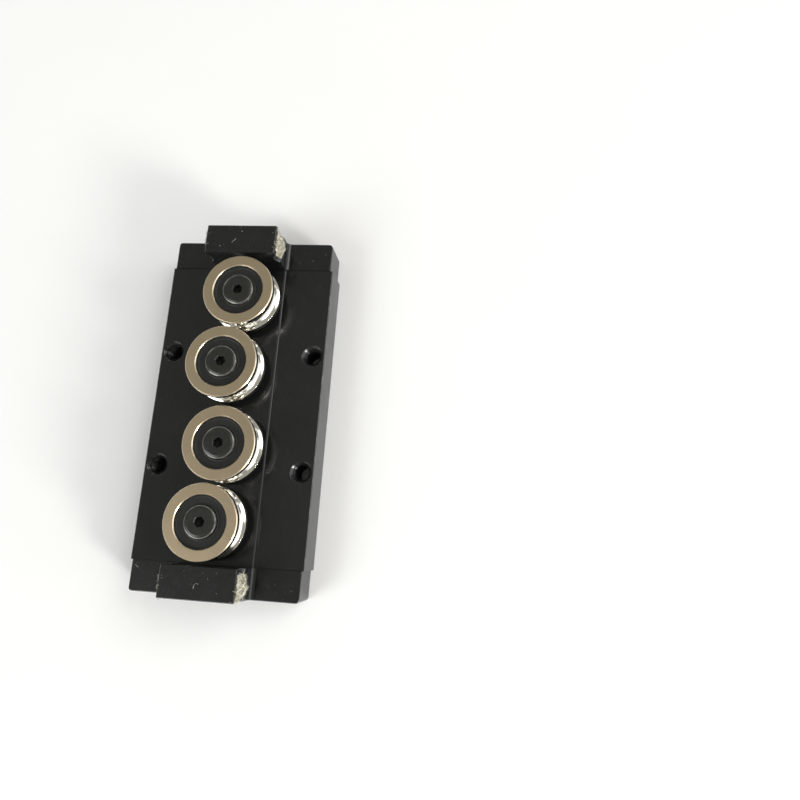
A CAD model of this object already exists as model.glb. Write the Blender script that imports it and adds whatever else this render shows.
"""Looks of a roller carriage for an inner dual-axis linear guide, built round its CAD frame."""

import math
import random

import bmesh
import bpy
import numpy as np
from bpy.props import FloatProperty, FloatVectorProperty, IntProperty, PointerProperty
from mathutils import Matrix, Vector, noise


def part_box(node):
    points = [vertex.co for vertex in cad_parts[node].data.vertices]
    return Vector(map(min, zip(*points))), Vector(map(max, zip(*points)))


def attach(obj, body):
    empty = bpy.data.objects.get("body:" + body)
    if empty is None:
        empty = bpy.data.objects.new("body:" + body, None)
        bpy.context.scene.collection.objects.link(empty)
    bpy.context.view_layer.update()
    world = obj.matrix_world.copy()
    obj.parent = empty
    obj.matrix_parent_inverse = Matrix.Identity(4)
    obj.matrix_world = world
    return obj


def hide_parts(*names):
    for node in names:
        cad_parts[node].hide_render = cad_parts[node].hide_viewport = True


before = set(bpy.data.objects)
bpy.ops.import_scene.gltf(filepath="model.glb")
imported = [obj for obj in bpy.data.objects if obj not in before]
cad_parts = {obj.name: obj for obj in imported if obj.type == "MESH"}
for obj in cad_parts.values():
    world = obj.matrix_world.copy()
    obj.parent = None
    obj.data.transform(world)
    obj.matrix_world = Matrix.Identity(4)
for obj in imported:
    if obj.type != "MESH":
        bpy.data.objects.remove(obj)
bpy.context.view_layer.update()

bl_info = {
    "name": "Roller Carriage",
    "version": (1, 0, 0),
    "blender": (4, 5, 0),
    "location": "View3D > Sidebar > Carriage",
    "description": "Builds the pieces of a linear guide's roller carriage",
    "category": "Object",
}

ROLLERS = (1, 2, 3, 4)
ENDS = {"front": 1, "rear": -1}
SIDES = {"left": 1, "right": -1}


# ---------------------------------------------------------------- places, in millimetres


def box_mm(node):
    """Lowest and highest corner of a CAD node in millimetres."""
    low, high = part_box(node)
    return low * 1000, high * 1000


def centre_mm(node):
    low, high = box_mm(node)
    return (low + high) / 2


def ring_mm(node):
    """Centre, outer radius and half the height of a round CAD node."""
    low, high = box_mm(node)
    return (low + high) / 2, (high.x - low.x) / 2, (high.z - low.z) / 2


def bore_mm(k, sizes):
    """The place of roller k's axle bore, which an eccentric axle's head stands off from."""
    seat = centre_mm(axle_node(k))
    return seat.x - (0 if k % 2 else sizes.eccentricity), seat.y


def body_of_roller_seat(k):
    """The body that holds roller k's axle: odd axles are fixed, even ones turn."""
    return "carriage" if k % 2 else f"eccentric_{k}"


def axle_node(k):
    return f"fixed_axle_{k}" if k % 2 else f"eccentric_axle_{k}"


# ---------------------------------------------------------------- outlines and solids


def rounded(corners, steps=5):
    """Points of a closed outline whose corners are (x, y, radius)."""
    points = []
    count = len(corners)
    for i, (x, y, radius) in enumerate(corners):
        corner = Vector((x, y))
        if radius <= 0:
            points.append((x, y))
            continue
        back = Vector(corners[i - 1][:2]) - corner
        ahead = Vector(corners[(i + 1) % count][:2]) - corner
        half = back.angle(ahead) / 2
        cut = min(radius / math.tan(half), 0.49 * back.length, 0.49 * ahead.length)
        start, end = corner + back.normalized() * cut, corner + ahead.normalized() * cut
        middle = corner + (back.normalized() + ahead.normalized()).normalized() * (cut / math.cos(half))
        a, b = start - middle, end - middle
        sweep = a.angle(b)
        for s in range(steps + 1):
            t = s / steps
            p = middle + (a * math.sin((1 - t) * sweep) + b * math.sin(t * sweep)) / math.sin(sweep)
            points.append((p.x, p.y))
    return points


def hexagonal(across, spin=0.0, scale=1.0):
    """The reach of a hexagon at each angle, as a radius for turned()."""
    def reach(angle):
        turn = (angle - math.radians(spin)) % math.radians(60) - math.radians(30)
        return across * scale / 2 / math.cos(turn)
    return reach


def arc(cx, cy, radius, start, end, steps):
    """Points on a circle from one angle to another, in degrees."""
    angles = [math.radians(start + (end - start) * s / steps) for s in range(steps + 1)]
    return [(cx + radius * math.cos(a), cy + radius * math.sin(a)) for a in angles]


def turned(profile, segments=128, ring=False):
    """A solid about Z from (radius, height) points, where a radius may be a function of the angle.
    A ring's profile closes on itself, and any other starts and ends on the axis."""
    points, faces, rows = [], [], []
    for i, (radius, height) in enumerate(profile):
        if not ring and i in (0, len(profile) - 1):
            rows.append([len(points)])
            points.append((0, 0, height))
            continue
        row = []
        for s in range(segments):
            a = 2 * math.pi * s / segments
            r = radius(a) if callable(radius) else radius
            row.append(len(points))
            points.append((r * math.cos(a), r * math.sin(a), height))
        rows.append(row)
    pairs = list(zip(rows, rows[1:])) + ([(rows[-1], rows[0])] if ring else [])
    for a, b in pairs:
        for s in range(segments):
            t = (s + 1) % segments
            if len(a) == 1:
                faces.append((a[0], b[t], b[s]))
            elif len(b) == 1:
                faces.append((a[s], a[t], b[0]))
            else:
                faces.append((a[s], a[t], b[t], b[s]))
    return points, faces


def prism(outline, low, high, axis="X"):
    """Extrudes an outline: in (y, z) along X, or in (x, y) along Z."""
    count = len(outline)
    points = [(w, u, v) if axis == "X" else (u, v, w) for w in (low, high) for u, v in outline]
    faces = [(i, (i + 1) % count, count + (i + 1) % count, count + i) for i in range(count)]
    return points, faces + [tuple(range(count)), tuple(range(2 * count - 1, count - 1, -1))]


def thread(minor, major, pitch, low, high, segments=48, per_turn=8):
    """A screw thread's solid about Z, which runs out smoothly at both ends."""
    rows = round((high - low) / pitch * per_turn)
    points, faces = [(0, 0, low)], []
    for i in range(rows + 1):
        z = low + (high - low) * i / rows
        fade = min(1, (z - low) / (pitch * 0.6), (high - z) / (pitch * 0.6))
        for s in range(segments):
            phase = (z / pitch - s / segments) % 1
            crest = min(1, max(0, 1.35 * (1 - abs(2 * phase - 1)) - 0.12))
            r = minor + (major - minor) * crest * max(0, fade)
            a = 2 * math.pi * s / segments
            points.append((r * math.cos(a), r * math.sin(a), z))
    points.append((0, 0, high))
    for s in range(segments):
        t = (s + 1) % segments
        faces.append((0, 1 + t, 1 + s))
        faces.append((len(points) - 1, 1 + rows * segments + s, 1 + rows * segments + t))
        for i in range(rows):
            a = 1 + i * segments
            faces.append((a + s, a + t, a + segments + t, a + segments + s))
    return points, faces


def moved(solid, offset=(0, 0, 0), turn=None):
    """A solid turned by a matrix, then moved."""
    points, faces = solid
    offset = Vector(offset)
    return [tuple((turn @ Vector(p) if turn else Vector(p)) + offset) for p in points], faces


def joined(*solids):
    points, faces = [], []
    for some_points, some_faces in solids:
        base = len(points)
        points += some_points
        faces += [tuple(base + i for i in face) for face in some_faces]
    return points, faces


def along_x(sign):
    """Turns +Z to +X (or -X)."""
    return Matrix.Rotation(math.radians(90 * sign), 3, "Y")


# ---------------------------------------------------------------- objects


def make(name, solid):
    """A mesh object in place, from a solid in millimetres."""
    points, faces = solid
    mesh = bpy.data.meshes.new(name)
    mesh.from_pydata([[v / 1000 for v in p] for p in points], [], faces)
    shape = bmesh.new()
    shape.from_mesh(mesh)
    bmesh.ops.remove_doubles(shape, verts=shape.verts, dist=1e-7)
    bmesh.ops.recalc_face_normals(shape, faces=shape.faces)
    shape.to_mesh(mesh)
    shape.free()
    piece = bpy.data.objects.new(name, mesh)
    bpy.context.scene.collection.objects.link(piece)
    return piece


def settle(piece):
    """Makes the piece's modifiers final."""
    graph = bpy.context.evaluated_depsgraph_get()
    mesh = bpy.data.meshes.new_from_object(piece.evaluated_get(graph))
    old, name = piece.data, piece.data.name
    piece.modifiers.clear()
    piece.data = mesh
    bpy.data.meshes.remove(old)
    mesh.name = name
    return piece


def carve(piece, solid, operation="DIFFERENCE"):
    """Cuts a solid out of the piece, or keeps only what lies in it."""
    tool = make("tool", solid)
    step = piece.modifiers.new("carve", "BOOLEAN")
    step.object, step.operation, step.solver = tool, operation, "EXACT"
    settle(piece)
    tool_mesh = tool.data
    bpy.data.objects.remove(tool)
    bpy.data.meshes.remove(tool_mesh)
    return piece


def soften(piece, width, segments=2, angle=32, material=0, where=None):
    """Rounds the sharp edges by a width in millimetres, or only those whose middle passes a test."""
    shape = bmesh.new()
    shape.from_mesh(piece.data)
    weight = shape.edges.layers.float.new("bevel_weight_edge")
    for edge in shape.edges:
        sharp = len(edge.link_faces) == 2 and edge.calc_face_angle() > math.radians(angle)
        middle = (edge.verts[0].co + edge.verts[1].co) * 500
        edge[weight] = float(sharp and (where is None or where(middle)))
    shape.to_mesh(piece.data)
    shape.free()
    step = piece.modifiers.new("soften", "BEVEL")
    step.width, step.segments, step.limit_method = width / 1000, segments, "WEIGHT"
    step.use_clamp_overlap, step.miter_outer, step.material = False, "MITER_ARC", material
    return settle(piece)


def smooth(piece, angle=30):
    """Smooth shading that keeps the flat faces flat."""
    piece.data.shade_smooth()
    piece.data.set_sharp_from_angle(angle=math.radians(angle))
    step = piece.modifiers.new("even", "WEIGHTED_NORMAL")
    step.keep_sharp, step.weight = True, 80
    return settle(piece)


def own_frame(piece, centre, lot=0.0):
    """Stores each vertex's place about the piece's own centre, and a number that tells pieces apart."""
    mesh = piece.data
    places = np.empty(len(mesh.vertices) * 3, np.float32)
    mesh.vertices.foreach_get("co", places)
    places = places.reshape(-1, 3) - np.array(centre, np.float32) / 1000
    mesh.attributes.new("own", "FLOAT_VECTOR", "POINT").data.foreach_set("vector", places.ravel())
    lots = np.full(len(mesh.vertices), lot, np.float32)
    mesh.attributes.new("lot", "FLOAT", "POINT").data.foreach_set("value", lots)
    return piece


def hand_over(piece, body, slot, nodes, *materials):
    """Gives a finished piece its materials, its body and the CAD nodes that it stands for."""
    if materials:
        piece.data.materials.clear()
        for material in materials:
            piece.data.materials.append(material)
    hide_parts(*nodes)
    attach(piece, body)
    return piece


# ---------------------------------------------------------------- materials


class Wire:
    """A node's output. Sums and products of wires add Math nodes."""

    def __init__(self, paint, socket):
        self.paint, self.socket = paint, socket

    def reckon(self, operation, a, b=0.0):
        return self.paint.add("ShaderNodeMath", {"operation": operation}, {0: a, 1: b})

    def __add__(self, other):
        return self.reckon("ADD", self, other)

    def __sub__(self, other):
        return self.reckon("SUBTRACT", self, other)

    def __rsub__(self, other):
        return self.reckon("SUBTRACT", other, self)

    def __mul__(self, other):
        return self.reckon("MULTIPLY", self, other)

    def __pow__(self, other):
        return self.reckon("POWER", self, other)

    __radd__, __rmul__ = __add__, __mul__


class Paint:
    """A material's nodes. add() makes any node."""

    def __init__(self, name, **constants):
        self.material = bpy.data.materials.new(name)
        self.open_tree(self.material)
        self.surface = self.nodes.new("ShaderNodeBsdfPrincipled")
        output = self.nodes.new("ShaderNodeOutputMaterial")
        self.links.new(self.surface.outputs[0], output.inputs["Surface"])
        for key, value in constants.items():
            self.surface.inputs[key.replace("_", " ")].default_value = value
        self.place = self.add("ShaderNodeTexCoord", {}, {}, "Object")

    def open_tree(self, owner):
        owner.use_nodes = True
        self.nodes, self.links = owner.node_tree.nodes, owner.node_tree.links
        self.nodes.clear()

    def add(self, kind, settings, inputs, output=0):
        node = self.nodes.new(kind)
        for key, value in settings.items():
            if key == "stops":
                while len(node.color_ramp.elements) < len(value):
                    node.color_ramp.elements.new(0.5)
                for stop, (position, colour) in zip(node.color_ramp.elements, value):
                    stop.position, stop.color = position, colour
            else:
                setattr(node, key, value)
        for key, value in inputs.items():
            if isinstance(value, Wire):
                self.links.new(value.socket, node.inputs[key])
            else:
                node.inputs[key].default_value = value
        return Wire(self, node.outputs[output]) if node.outputs else node

    def grain(self, size, detail=2.0, where=None, roughness=0.5):
        """Noise whose blobs are about size millimetres across."""
        return self.add("ShaderNodeTexNoise", {"noise_dimensions": "3D"}, {
            "Vector": where or self.place, "Scale": 1000 / size, "Detail": detail, "Roughness": roughness})

    def stretch(self, scale, turn=(0, 0, 0), shift=(0, 0, 0), where=None):
        return self.add("ShaderNodeMapping", {}, {
            "Vector": where or self.place, "Location": shift, "Rotation": turn, "Scale": scale})

    def rise(self, value, low, high):
        """0 below low, 1 above high, smooth between; the other way round where low is above high."""
        return self.add("ShaderNodeMapRange", {"interpolation_type": "SMOOTHSTEP"}, {
            "Value": value, "From Min": low, "From Max": high})

    def mix(self, share, first, second):
        """A colour between two colours."""
        return self.add("ShaderNodeMix", {"data_type": "RGBA"}, {0: share, 6: first, 7: second}, 2)

    def axes(self, where=None):
        """x, y and z of a vector."""
        first = self.add("ShaderNodeSeparateXYZ", {}, {0: where or self.place})
        return [Wire(self, socket) for socket in first.socket.node.outputs]

    def own(self):
        """The place about the piece's own centre."""
        return self.add("ShaderNodeAttribute", {"attribute_name": "own"}, {}, "Vector")

    def shuffled(self, where):
        """A place that differs from piece to piece, for noise."""
        lot = self.add("ShaderNodeAttribute", {"attribute_name": "lot"}, {}, "Fac")
        return self.add("ShaderNodeVectorMath", {"operation": "ADD"}, {0: where, 1: lot}, 0)

    def lanes(self, along, scale, detail):
        """Noise along one number only, which makes bands or rings."""
        return self.add("ShaderNodeTexNoise", {"noise_dimensions": "1D"}, {"W": along, "Scale": scale,
                                                                          "Detail": detail})

    def radius(self, where):
        """The distance from the Z axis."""
        x, y = self.axes(where)[:2]
        return (x * x + y * y) ** 0.5

    def most(self, first, second):
        """The larger of two numbers, or the second where there is no first yet."""
        if first is None:
            return second
        return self.add("ShaderNodeMath", {"operation": "MAXIMUM"}, {0: first, 1: second})

    def scratches(self, turns, pitch, length, where=None):
        """Fine broken scratches along some directions in the XY plane, 0 to 1."""
        total = None
        for i, turn in enumerate(turns):
            lane = self.stretch((1000 / length, 1000 / pitch, 1000 / length), (0, 0, math.radians(turn)),
                                (i * 3.1, i * 5.3, 0), where)
            lines = self.add("ShaderNodeTexNoise", {}, {"Vector": lane, "Scale": 1.0, "Detail": 1.0})
            thin = self.rise(self.reach(lines - 0.5), 0.006, 0.0)
            aside = self.stretch((1, 1, 1), (0, 0, 0), (i, 0, 0), where)
            gate = self.rise(self.grain(length * 0.8, 1.0, aside), 0.56, 0.64)
            total = self.most(total, thin * gate)
        return total

    def reach(self, value):
        """The size of a number without its sign."""
        return self.add("ShaderNodeMath", {"operation": "ABSOLUTE"}, {0: value})

    def specks(self, pitch, size, share, where=None):
        """Scattered dust specks, 0 to 1, pitch millimetres apart. share is how many of the cells have one."""
        settings = {"voronoi_dimensions": "3D", "feature": "F1"}
        sockets = {"Vector": where or self.place, "Scale": 1000 / pitch}
        cell = self.add("ShaderNodeTexVoronoi", settings, sockets, "Distance")
        tint = self.add("ShaderNodeSeparateColor", {}, {0: Wire(self, cell.socket.node.outputs["Color"])})
        near = self.rise(cell, size / pitch, size / pitch * 0.4)
        return near * self.rise(tint, 1 - share, 1 - share + 0.02)

    def finish(self, **links):
        for key, wire in links.items():
            self.links.new(wire.socket, self.surface.inputs[key.replace("_", " ")])
        return self.material

    def bump(self, height, depth, strength):
        """A bumpy normal: height from 0 to 1 is depth millimetres."""
        return self.add("ShaderNodeBump", {}, {"Height": height, "Strength": strength,
                                               "Distance": depth / 1000}, "Normal")


def bright(tint, factor):
    """A light's colour, which may be brighter than white."""
    return tuple(c * factor for c in tint) + (1.0,)


def shade(colour, factor):
    """A lighter or darker shade of a surface colour."""
    return tuple(min(1.0, c * factor) for c in colour[:3]) + (1.0,)


def anodised(colours, worn=False):
    """Black anodised aluminium: satin, faintly brushed along the plate, with dust and fine scratches."""
    paint = Paint("anodised_edge" if worn else "anodised_black", IOR=1.5)
    base = colours.anodising
    cloud = paint.grain(9, 4)
    brushed = paint.add("ShaderNodeTexNoise", {}, {
        "Vector": paint.stretch((60, 9000, 9000)), "Scale": 1.0, "Detail": 2.0})
    fine = paint.grain(0.09, 2)
    scratch = paint.scratches((12, 78, 140), 0.5, 7)
    dust = paint.specks(1.9, 0.055, 0.16)
    colour = paint.mix(cloud, shade(base, 0.7), shade(base, 1.2))
    if worn:
        left_side = paint.rise(paint.axes()[1], -0.001, 0.001)
        bare = paint.rise(paint.grain(1.1, 3), 0.46, 0.64) * paint.rise(paint.grain(7, 2), 0.42, 0.56)
        bare = bare * (0.12 + left_side * 0.6)
        colour = paint.mix(bare, shade(base, 4), colours.bare_edge[:] + (1.0,))
        metal = bare * 0.8
    colour = paint.mix(scratch * 0.22, colour, shade(base, 7))
    colour = paint.mix(dust, colour, (0.22, 0.22, 0.2, 1))
    hand_print = paint.rise(paint.grain(24, 2), 0.45, 0.7)
    rough = 0.15 + cloud * 0.06 + dust * 0.3 + scratch * 0.06 + hand_print * 0.06
    relief = brushed * 0.01 + fine * 0.03 - scratch * 0.2 + dust * 0.7
    links = {"Base_Color": colour, "Roughness": rough, "Normal": paint.bump(relief, 0.003, 0.35)}
    if worn:
        links["Metallic"] = metal
    return paint.finish(**links)


def moulded(colours, marks=(), rubbed=False):
    """Black moulded plastic: a soft sheen with flow waviness, lint, handling marks and fine scratches.
    marks are (x0, y0, x1, y1, width) in millimetres, seen from the roller side. Edges are rubbed bright."""
    paint = Paint("moulded_edge" if rubbed else "moulded_black", IOR=1.8 if rubbed else 1.5)
    base = colours.moulding
    cloud = paint.grain(7, 3)
    waves = paint.grain(3.2, 1)
    skin = paint.grain(0.16, 2)
    scratch = paint.scratches((35, 100, 160), 0.45, 4)
    lint = paint.specks(1.6, 0.11, 0.3)
    flecks = paint.specks(0.8, 0.06, 0.25)
    x, y = paint.axes()[:2]
    dents = None
    for x0, y0, x1, y1, width in marks:
        length = math.hypot(x1 - x0, y1 - y0)
        ux, uy = (x1 - x0) / length, (y1 - y0) / length
        dx, dy = x * 1000 - x0, y * 1000 - y0
        across = paint.reach(dx * -uy + dy * ux)
        beyond = paint.reach(dx * ux + dy * uy - length / 2)
        mark = paint.rise(across, width, width * 0.3) * paint.rise(beyond, length / 2 + width, length / 2)
        dents = paint.most(dents, mark)
    colour = paint.mix(cloud, shade(base, 0.8), shade(base, 1.35))
    colour = paint.mix(scratch * 0.4, colour, shade(base, 14))
    colour = paint.mix(flecks * 0.7, colour, (0.2, 0.2, 0.18, 1))
    colour = paint.mix(lint, colour, (0.42, 0.41, 0.35, 1))
    if rubbed:
        colour = paint.mix(paint.rise(paint.grain(0.9, 3), 0.3, 0.6), shade(base, 10), shade(base, 24))
    relief = waves * 0.8 + skin * 0.12 - scratch * 0.4 + lint * 0.9
    if dents:
        colour = paint.mix(dents * paint.rise(paint.grain(0.25, 2), 0.36, 0.55), colour, (0.5, 0.49, 0.44, 1))
        relief = relief - dents * 1.2
    rough = 0.21 + cloud * 0.08 + lint * 0.4 + scratch * 0.15
    return paint.finish(Base_Color=colour, Roughness=rough, Normal=paint.bump(relief, 0.009, 0.4))


def ground_steel(colours):
    """Bearing steel: ground faces with fine rings, a polished groove and a slightly dull rim."""
    paint = Paint("ground_steel", Metallic=1.0)
    own = paint.own()
    place = paint.shuffled(own)
    height = paint.axes(own)[2]
    # 1 on the flat faces, which lie 4.8 mm or more from the ring's middle.
    face = paint.rise(paint.reach(height), 0.00472, 0.00482)
    rings = paint.lanes(paint.radius(own), 16000.0, 3.0)
    lanes = paint.lanes(height, 9000.0, 2.0)
    cloud = paint.grain(4.5, 4, place)
    stains = paint.rise(paint.grain(2.2, 4, place, 0.65), 0.57, 0.72)
    nicks = paint.specks(1.4, 0.06, 0.14, place)
    scratch = paint.scratches((20, 65, 115, 160), 0.35, 2.5, place)
    flat, groove = colours.ground_face, colours.polished_groove
    ground = paint.mix(rings * 0.6 + cloud * 0.4, shade(flat, 0.9), shade(flat, 1.08))
    polished = paint.mix(cloud, shade(groove, 0.92), shade(groove, 1.06))
    colour = paint.mix(face, polished, ground)
    colour = paint.mix(stains * 0.18, colour, (0.32, 0.24, 0.16, 1))
    colour = paint.mix(nicks * 0.8, colour, (0.1, 0.08, 0.06, 1))
    rough = 0.09 + face * 0.2 + rings * face * 0.1 + cloud * 0.06 + stains * 0.12 + scratch * 0.08
    damage = (nicks * 0.5 + scratch * 0.35) * (0.3 + face * 0.7)
    relief = rings * face * 0.5 + (1 - face) * lanes * 0.08 - damage
    return paint.finish(Base_Color=colour, Roughness=rough, Normal=paint.bump(relief, 0.002, 0.6))


def plain_steel(name, colour, rough):
    """Turned or plated steel with faint lathe lines, stains and fine scratches."""
    paint = Paint(name, Metallic=1.0)
    cloud = paint.grain(2.5, 4)
    lanes = paint.lanes(paint.axes()[2], 8000.0, 2.0)
    spots = paint.rise(paint.grain(0.5, 3), 0.62, 0.72)
    tone = paint.mix(cloud, shade(colour, 0.82), shade(colour, 1.12))
    tone = paint.mix(spots * 0.35, tone, shade(colour, 0.4))
    roughness = rough + cloud * 0.14 + spots * 0.15
    return paint.finish(Base_Color=tone, Roughness=roughness,
                        Normal=paint.bump(lanes * 0.6 + spots * 0.3, 0.003, 0.5))


def black_oxide(colours):
    """Oiled black-oxide steel: olive black, turned rings on the head, worn rims and bright dust."""
    paint = Paint("black_oxide", IOR=1.6)
    own = paint.own()
    place = paint.shuffled(own)
    radius, height = paint.radius(own), paint.axes(own)[2]
    cloud = paint.grain(1.8, 4, place)
    rings = paint.lanes(radius, 5200.0, 2.0)
    pits = paint.grain(0.12, 2, place)
    dust = paint.specks(0.62, 0.05, 0.22, place)
    # 1 inside the hexagon socket, and 1 on the head's rounded rim.
    socket = paint.rise(radius, 0.00182, 0.0017) * paint.rise(height, -0.00004, -0.0001)
    rub = paint.rise(paint.grain(1.6, 2, place), 0.35, 0.6)
    worn = paint.rise(radius, 0.00482, 0.00488) * (0.35 + rub * 0.5)
    base = colours.oxide
    tone = paint.mix(cloud, shade(base, 0.7), shade(base, 1.4))
    tone = paint.mix(worn, tone, (0.3, 0.29, 0.26, 1))
    tone = paint.mix(dust * 0.8, tone, (0.4, 0.37, 0.28, 1))
    tone = paint.mix(socket, tone, shade(base, 0.3))
    rough = 0.24 + cloud * 0.12 + dust * 0.3 + socket * 0.4
    metal = 0.35 + worn * 0.45
    relief = rings * 0.25 + pits * 0.12 + dust * 0.8
    return paint.finish(Base_Color=tone, Roughness=rough, Metallic=metal,
                        Normal=paint.bump(relief, 0.005, 0.4))


def seal_rubber(colours):
    """Moulded nitrile: flat black, with faint rings and a dry bloom."""
    paint = Paint("seal_rubber", IOR=1.45)
    own = paint.own()
    place = paint.shuffled(own)
    rings = paint.lanes(paint.radius(own), 3200.0, 1.0)
    bloom = paint.rise(paint.grain(2.6, 4, place), 0.42, 0.68)
    dust = paint.specks(0.75, 0.035, 0.1, place)
    skin = paint.grain(0.14, 2, place)
    base = colours.rubber
    tone = paint.mix(bloom, shade(base, 0.9), shade(base, 1.15))
    tone = paint.mix(dust * 0.7, tone, (0.3, 0.29, 0.25, 1))
    rough = 0.5 + bloom * 0.06 + rings * 0.04
    return paint.finish(Base_Color=tone, Roughness=rough,
                        Normal=paint.bump(rings * 0.5 + skin * 0.5, 0.006, 0.4))


def wool_felt(colours):
    """Oiled wool felt: pale khaki, matted, darker where the oil has soaked in."""
    paint = Paint("wool_felt", Roughness=0.9, Sheen_Weight=0.3, Sheen_Roughness=0.5)
    base = colours.felt
    mat = paint.grain(0.35, 5, None, 0.7)
    strands = paint.add("ShaderNodeTexNoise", {}, {
        "Vector": paint.stretch((1800, 5200, 4000), (0.4, 0.2, 0.5)), "Scale": 1.0, "Detail": 4.0,
        "Distortion": 1.2})
    oil = paint.rise(paint.grain(2.4, 3), 0.5, 0.7)
    knots = paint.rise(paint.grain(0.9, 3, None, 0.6), 0.36, 0.62)
    tone = paint.mix(paint.rise(mat, 0.32, 0.68) * 0.5 + knots * 0.5, shade(base, 0.22), shade(base, 1.3))
    tone = paint.mix(paint.rise(strands, 0.55, 0.68), tone, shade(base, 1.6))
    tone = paint.mix(oil * 0.5, tone, colours.felt_oil[:] + (1.0,))
    return paint.finish(Base_Color=tone, Roughness=0.78 + mat * 0.2,
                        Normal=paint.bump(mat * 0.5 + strands * 0.3 + knots * 0.7, 0.22, 0.9))


def brass(colours):
    """Pressed brass, a little tarnished."""
    paint = Paint("pressed_brass", Metallic=1.0)
    cloud = paint.grain(1.5, 4)
    fine = paint.grain(0.08, 2)
    tone = paint.mix(cloud, shade(colours.brass, 0.75), shade(colours.brass, 1.15))
    return paint.finish(Base_Color=tone, Roughness=0.26 + cloud * 0.2, Normal=paint.bump(fine, 0.004, 0.4))


class Sky(Paint):
    """The room round the carriage: warm and dim above, with bright windows and darker walls lower down."""

    def __init__(self, world, stage):
        self.open_tree(world)
        self.place = self.add("ShaderNodeTexCoord", {}, {}, "Generated")
        x, y, z = self.axes()
        azimuth = self.add("ShaderNodeMath", {"operation": "ARCTAN2"}, {0: y, 1: x})
        bays = self.lanes(azimuth + 7.3, 2.6, 1.0)
        # Angles round the horizon are in radians from +X, and z is 0 at the horizon and 1 straight above.
        wide = self.rise(azimuth, -2.6, -2.3) * self.rise(azimuth, -1.0, -1.35)
        panes = self.rise(bays, 0.5, 0.6) * 0.45
        glass = self.most(wide, panes) * self.rise(z, 0.6, 0.45)
        round_about = self.mix(glass, bright((1, 1, 1), stage.walls), bright((1, 1, 0.98), stage.windows))
        room = self.mix(self.rise(z, 0.35, 0.62), round_about, bright((1, 0.985, 0.91), stage.overhead))
        seen = self.add("ShaderNodeLightPath", {}, {}, "Is Camera Ray")
        colour = self.mix(seen, room, bright((1, 1, 1), stage.backdrop))
        light = self.add("ShaderNodeBackground", {}, {"Color": colour})
        self.add("ShaderNodeOutputWorld", {}, {"Surface": light})


# ---------------------------------------------------------------- sizes and colours that a user would change


def millimetres(name, description, default, low=0.0, high=100.0):
    return FloatProperty(name=name, description=description, default=default, min=low, max=high)


def amount(name, description, default, high):
    return FloatProperty(name=name, description=description, default=default, min=0.0, max=high)


def colour_of(name, description, default):
    return FloatVectorProperty(name=name, description=description, default=default, subtype="COLOR",
                               size=3, min=0.0, max=1.0)


class CarriageSizes(bpy.types.PropertyGroup):
    """Sizes in millimetres."""

    land_width: millimetres("Land width", "Width of the raised land under the rollers", 24.6)
    land_fillet: millimetres("Land fillet", "Radius at the foot of the land", 0.8)
    wing_top: millimetres("Wing height", "Height of the plate's wings", 12.4)
    edge_chamfer: millimetres("Edge chamfer", "Chamfer along the plate's long edges", 0.3)
    mount_x: millimetres("Hole spacing along", "Distance between mounting holes along the rail", 40.0)
    mount_y: millimetres("Hole spacing across", "Distance between mounting holes across the rail", 50.0)
    mount_bore: millimetres("Mounting bore", "Core diameter of the mounting holes", 5.3)
    mount_sink: millimetres("Countersink", "Diameter of the countersinks", 7.4)
    axle_bore: millimetres("Axle bore", "Diameter of the axles' bores in the plate", 5.1)
    nut_pocket: millimetres("Nut pocket", "Diameter of the lock nuts' pockets", 11.0)
    eccentricity: millimetres("Eccentricity", "Distance of an eccentric axle's head from its bore", 0.45)
    end_screw_y: millimetres("End screw offset", "Distance of the end screws from the centre line", 20.0)
    end_screw_z: millimetres("End screw height", "Height of the end screws", 6.3)
    cap_wing_top: millimetres("Cap wing height", "Height of the end caps' wings", 12.6)
    boss_width: millimetres("Boss width", "Width of the end caps' bosses", 24.5)
    boss_fillet: millimetres("Boss fillet", "Radius at the foot of the bosses", 1.7)
    shaft_offset: millimetres("Shaft offset", "Distance of a guide shaft from the centre line", 14.4)
    shaft_height: millimetres("Shaft height", "Height of the guide shafts' centre lines", 21.8)
    felt_radius: millimetres("Felt radius", "Outer radius of the felt round a shaft", 4.2)
    groove_radius: millimetres("Groove radius", "Radius of the groove in a roller", 3.1)
    groove_floor: millimetres("Groove floor", "Radius of the roller at the bottom of its groove", 10.0)
    ball: millimetres("Ball", "Ball diameter", 2.8)
    ball_circle: millimetres("Ball circle", "Radius of the circle through the balls' centres", 6.1)
    row_offset: millimetres("Row offset", "Distance of a ball row from the roller's middle", 1.7)
    softening: millimetres("Softening", "Rounding of the plate's sharp edges", 0.12, 0.02, 0.4)
    cap_softening: millimetres("Cap softening", "Rounding of the moulded caps' edges", 0.24, 0.05, 0.6)
    balls_in_row: IntProperty(name="Balls in a row", description="Balls in each of a roller's rows",
                              default=8, min=4, max=12)
    fibres: amount("Fibres", "Felt fibres on each square millimetre", 13.0, 30.0)


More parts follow.
